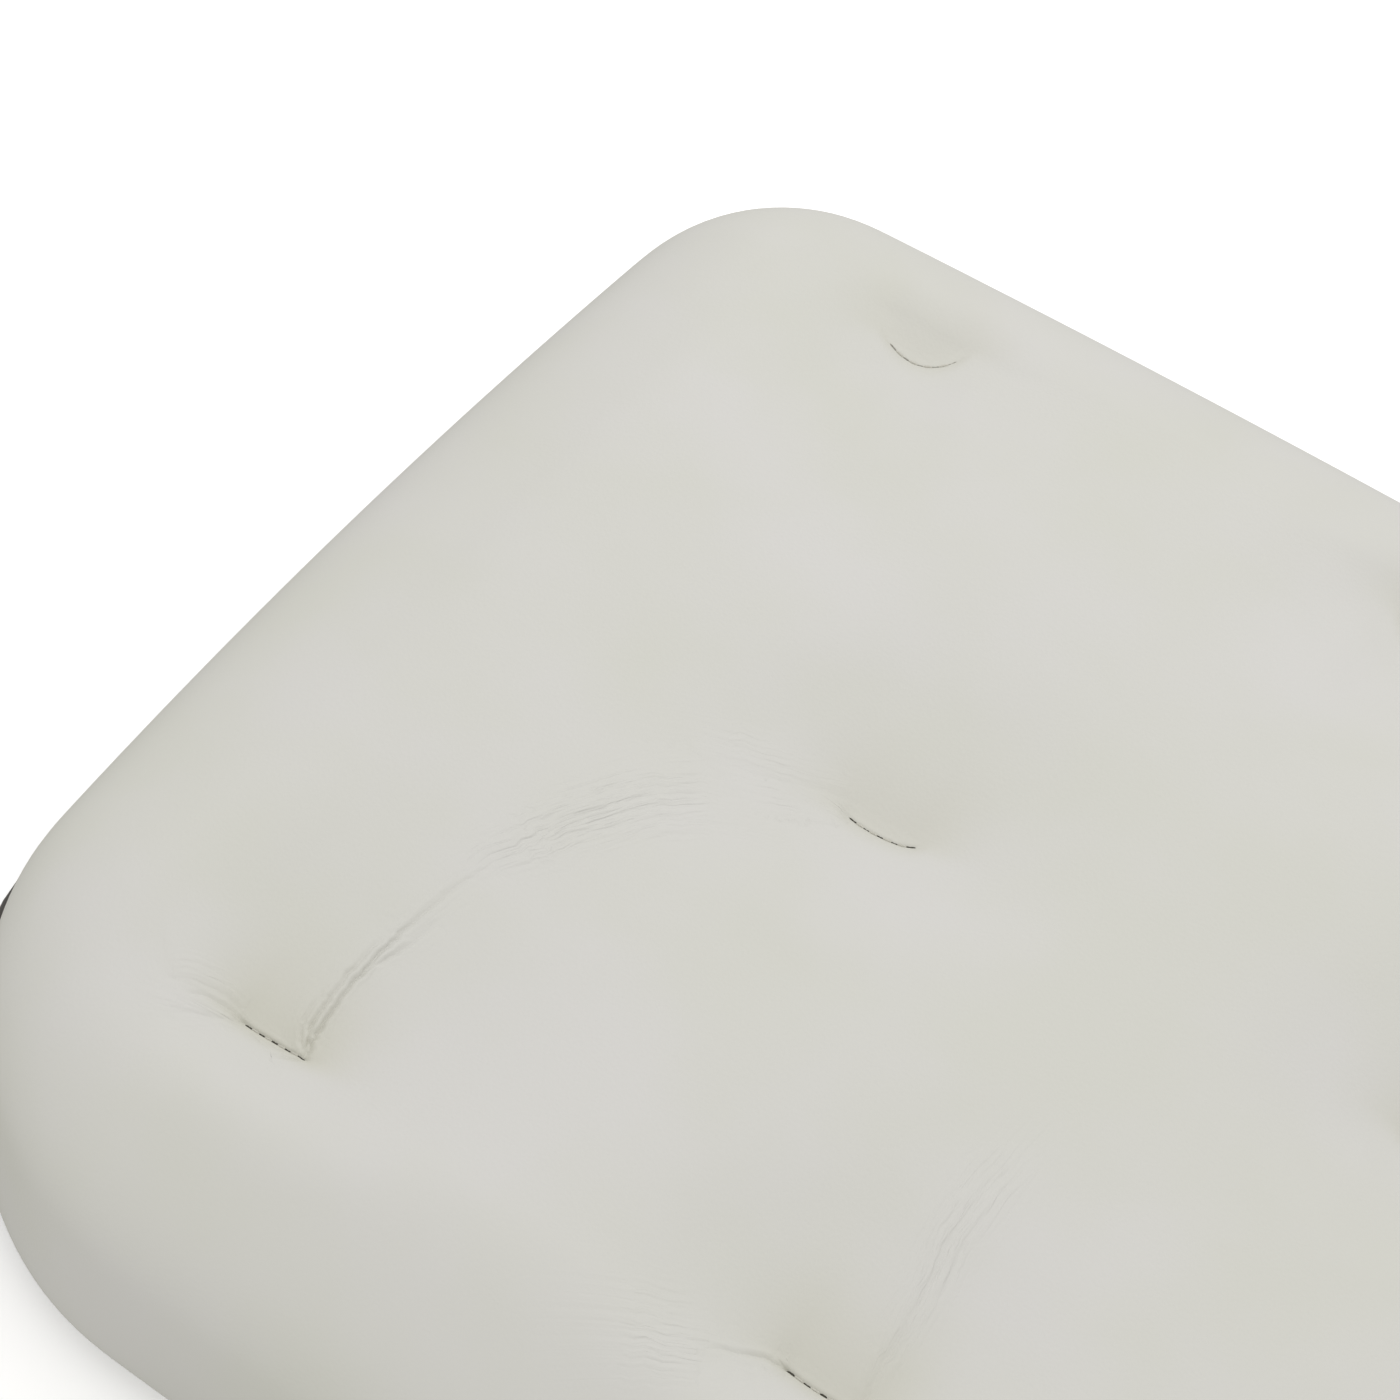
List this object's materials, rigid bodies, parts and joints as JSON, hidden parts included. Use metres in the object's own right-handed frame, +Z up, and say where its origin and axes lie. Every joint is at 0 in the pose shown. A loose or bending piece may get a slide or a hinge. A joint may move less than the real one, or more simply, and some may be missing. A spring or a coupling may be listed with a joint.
{
  "type": "chair seat pad",
  "caption": "Thick leather chair seat pad with a soft rolled edge and stitched tufts, over foam and a plywood board, in a shallow moulded base pan with bolt holes below.",
  "frame": {"origin": "centre of the base pan's flat underside", "axes": "+Z up, -Y the front edge, +X along the pad's width"},
  "size_m": [0.529, 0.41, 0.093],
  "materials": {
    "leather": "off-white full-grain leather, fine grain, soft satin",
    "wadding": "white polyester wadding",
    "foam_soft": "open-cell soft foam",
    "foam_firm": "open-cell firm foam",
    "plywood": "birch plywood",
    "seam_thread": "bonded sewing thread",
    "twine": "waxed tufting twine",
    "washer_steel": "zinc-plated washer",
    "zinc_steel": "zinc-plated T-nut",
    "steel_wire": "galvanised staple wire",
    "pan": "dark moulded polypropylene, fine texture",
    "screw_steel": "blackened zinc screw"
  },
  "bodies": {
    "root": {"top_cover": "leather", "wadding": "wadding", "foam_top": "foam_soft", "foam_base": "foam_firm", "seat_board": "plywood", "tuft_stitch_1": "seam_thread", "tuft_stitch_2": "seam_thread", "tuft_stitch_3": "seam_thread", "tuft_stitch_4": "seam_thread", "tuft_stitch_5": "seam_thread", "tuft_stitch_6": "seam_thread", "tuft_stitch_7": "seam_thread", "tuft_stitch_8": "seam_thread", "tuft_twine_1": "twine", "tuft_twine_2": "twine", "tuft_twine_3": "twine", "tuft_twine_4": "twine", "tuft_twine_5": "twine", "tuft_twine_6": "twine", "tuft_twine_7": "twine", "tuft_twine_8": "twine", "tuft_washer_1": "washer_steel", "tuft_washer_2": "washer_steel", "tuft_washer_3": "washer_steel", "tuft_washer_4": "washer_steel", "tuft_washer_5": "washer_steel", "tuft_washer_6": "washer_steel", "tuft_washer_7": "washer_steel", "tuft_washer_8": "washer_steel", "t_nut_1": "zinc_steel", "t_nut_2": "zinc_steel", "t_nut_3": "zinc_steel", "t_nut_4": "zinc_steel", "cover_staples": "steel_wire", "base_pan": "pan", "pan_screws": "screw_steel"}
  },
  "joints": []
}
